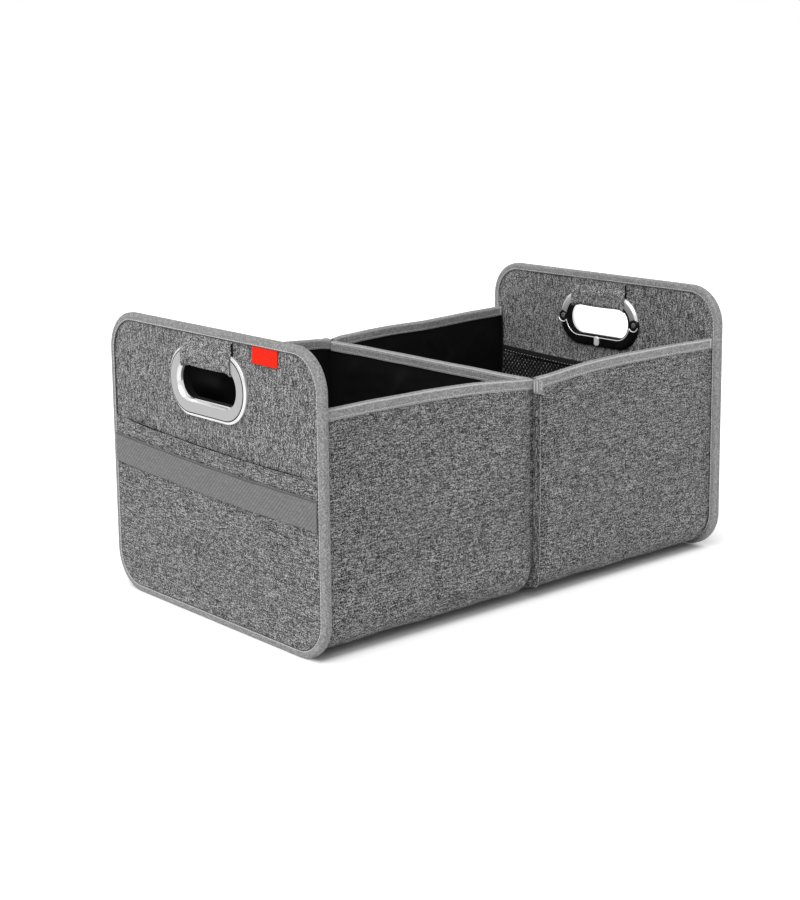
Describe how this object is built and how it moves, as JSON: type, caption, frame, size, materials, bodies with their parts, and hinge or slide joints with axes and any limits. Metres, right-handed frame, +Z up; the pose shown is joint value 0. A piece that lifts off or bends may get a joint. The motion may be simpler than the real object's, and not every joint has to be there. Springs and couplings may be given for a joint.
{
  "type": "collapsible car organizer",
  "caption": "Collapsible fabric car boot organizer with two open bays, upright end panels with ringed hand holes, a front pocket with a strap and lifting base boards.",
  "frame": {"origin": "on the floor, under the middle of the body", "axes": "+X along the length towards the rear end panel, +Y towards the left wall, +Z up"},
  "size_m": [0.518, 0.32, 0.268],
  "materials": {
    "heather_fabric": "mottled grey heather weave",
    "binding_tape": "ribbed grey grosgrain tape",
    "webbing": "grey woven webbing with a diagonal rib",
    "black_lining": "black coated nylon",
    "mesh": "black diamond net",
    "elastic": "black woven elastic band",
    "chrome": "satin plated with polished edges",
    "black_plastic": "smooth black moulding",
    "screw_steel": "plain steel",
    "board": "pale corrugated sheet",
    "red_label": "bright red woven label, bare"
  },
  "bodies": {
    "root": {"divider_binding": "binding_tape", "divider_board": "board", "divider_front_lining": "black_lining", "divider_rear_lining": "black_lining", "front_bay_lining": "black_lining", "front_bay_shell": "heather_fabric", "front_grip_wrap": "heather_fabric", "front_handle_arch": "chrome", "front_handle_cover": "black_plastic", "front_handle_left_screw": "screw_steel", "front_handle_right_screw": "screw_steel", "front_handle_ring": "chrome", "front_hinge_tape": "elastic", "front_left_inner_wall_board": "board", "front_left_outer_wall_board": "board", "front_left_wall_binding": "binding_tape", "front_panel_binding": "binding_tape", "front_panel_board": "board", "front_panel_inner_fabric": "black_lining", "front_panel_outer_fabric": "heather_fabric", "front_pocket": "heather_fabric", "front_right_inner_wall_board": "board", "front_right_outer_wall_board": "board", "front_right_wall_binding": "binding_tape", "front_strap": "webbing", "label_tab": "red_label", "left_seam_fin": "heather_fabric", "left_seam_tab": "binding_tape", "mesh_pocket_band": "elastic", "mesh_pocket_net": "mesh", "rear_bay_lining": "black_lining", "rear_bay_shell": "heather_fabric", "rear_grip_wrap": "heather_fabric", "rear_handle_arch": "chrome", "rear_handle_cover": "black_plastic", "rear_handle_left_screw": "screw_steel", "rear_handle_right_screw": "screw_steel", "rear_handle_ring": "chrome", "rear_hinge_tape": "elastic", "rear_left_inner_wall_board": "board", "rear_left_outer_wall_board": "board", "rear_left_wall_binding": "binding_tape", "rear_panel_binding": "binding_tape", "rear_panel_board": "board", "rear_panel_inner_fabric": "heather_fabric", "rear_panel_outer_fabric": "heather_fabric", "rear_right_inner_wall_board": "board", "rear_right_outer_wall_board": "board", "rear_right_wall_binding": "binding_tape", "right_seam_fin": "heather_fabric", "right_seam_tab": "binding_tape"},
    "front_base": {"front_base_board": "black_lining"},
    "rear_base": {"rear_base_board": "black_lining"}
  },
  "joints": [
    {"name": "front_base_lift", "type": "hinge", "parent": "root", "child": "front_base", "pos_m": [-0.0052, 0, 0.0167], "axis": [0, 1, 0], "range_deg": [0, 88]},
    {"name": "rear_base_lift", "type": "hinge", "parent": "root", "child": "rear_base", "pos_m": [0.0052, 0, 0.0167], "axis": [0, -1, 0], "range_deg": [0, 88]}
  ]
}
